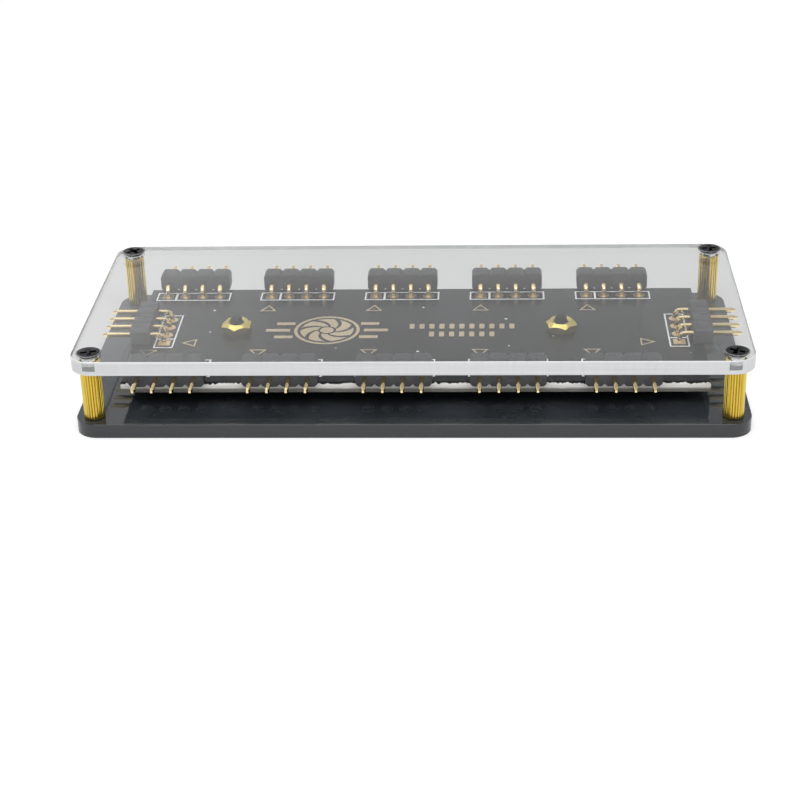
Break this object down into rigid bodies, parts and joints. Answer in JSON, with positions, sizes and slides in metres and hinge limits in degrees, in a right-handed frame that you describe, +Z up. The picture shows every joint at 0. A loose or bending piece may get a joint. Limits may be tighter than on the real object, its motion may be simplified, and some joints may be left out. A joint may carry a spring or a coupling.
{
  "type": "pc fan controller hub",
  "caption": "Flat hub for PC fan plugs: a circuit board of right-angle pin headers bolted between a clear and a black acrylic plate on brass standoffs.",
  "frame": {"origin": "centre of the bottom plate's underside", "axes": "+X along the hub's length to the right, +Y to the back, +Z up through the top plate"},
  "size_m": [0.09, 0.04, 0.0115],
  "materials": {
    "clear_acrylic": "polished clear acrylic",
    "black_acrylic": "polished black acrylic",
    "solder_mask": "satin black solder mask over glass laminate",
    "header_plastic": "moulded black plastic",
    "gilt_pin": "gold flash plating",
    "brass": "bright turned brass",
    "black_screw": "black zinc plated steel",
    "white_ink": "screen printed white ink",
    "solder": "bright tin solder"
  },
  "bodies": {
    "root": {"board_nut_left": "brass", "board_nut_right": "brass", "board_screw_left": "black_screw", "board_screw_right": "black_screw", "board_spacer_left": "brass", "board_spacer_right": "brass", "bottom_plate": "black_acrylic", "bottom_screw_back_left": "black_screw", "bottom_screw_back_right": "black_screw", "bottom_screw_front_left": "black_screw", "bottom_screw_front_right": "black_screw", "circuit_board": "solder_mask", "housing_back_1": "header_plastic", "housing_back_2": "header_plastic", "housing_back_3": "header_plastic", "housing_back_4": "header_plastic", "housing_back_5": "header_plastic", "housing_front_1": "header_plastic", "housing_front_2": "header_plastic", "housing_front_3": "header_plastic", "housing_front_4": "header_plastic", "housing_front_5": "header_plastic", "housing_left": "header_plastic", "housing_right": "header_plastic", "pins_back_1": "gilt_pin", "pins_back_2": "gilt_pin", "pins_back_3": "gilt_pin", "pins_back_4": "gilt_pin", "pins_back_5": "gilt_pin", "pins_front_1": "gilt_pin", "pins_front_2": "gilt_pin", "pins_front_3": "gilt_pin", "pins_front_4": "gilt_pin", "pins_front_5": "gilt_pin", "pins_left": "gilt_pin", "pins_right": "gilt_pin", "standoff_back_left": "brass", "standoff_back_right": "brass", "standoff_front_left": "brass", "standoff_front_right": "brass", "top_plate": "clear_acrylic", "top_screw_back_left": "black_screw", "top_screw_back_right": "black_screw", "top_screw_front_left": "black_screw", "top_screw_front_right": "black_screw"}
  },
  "joints": []
}
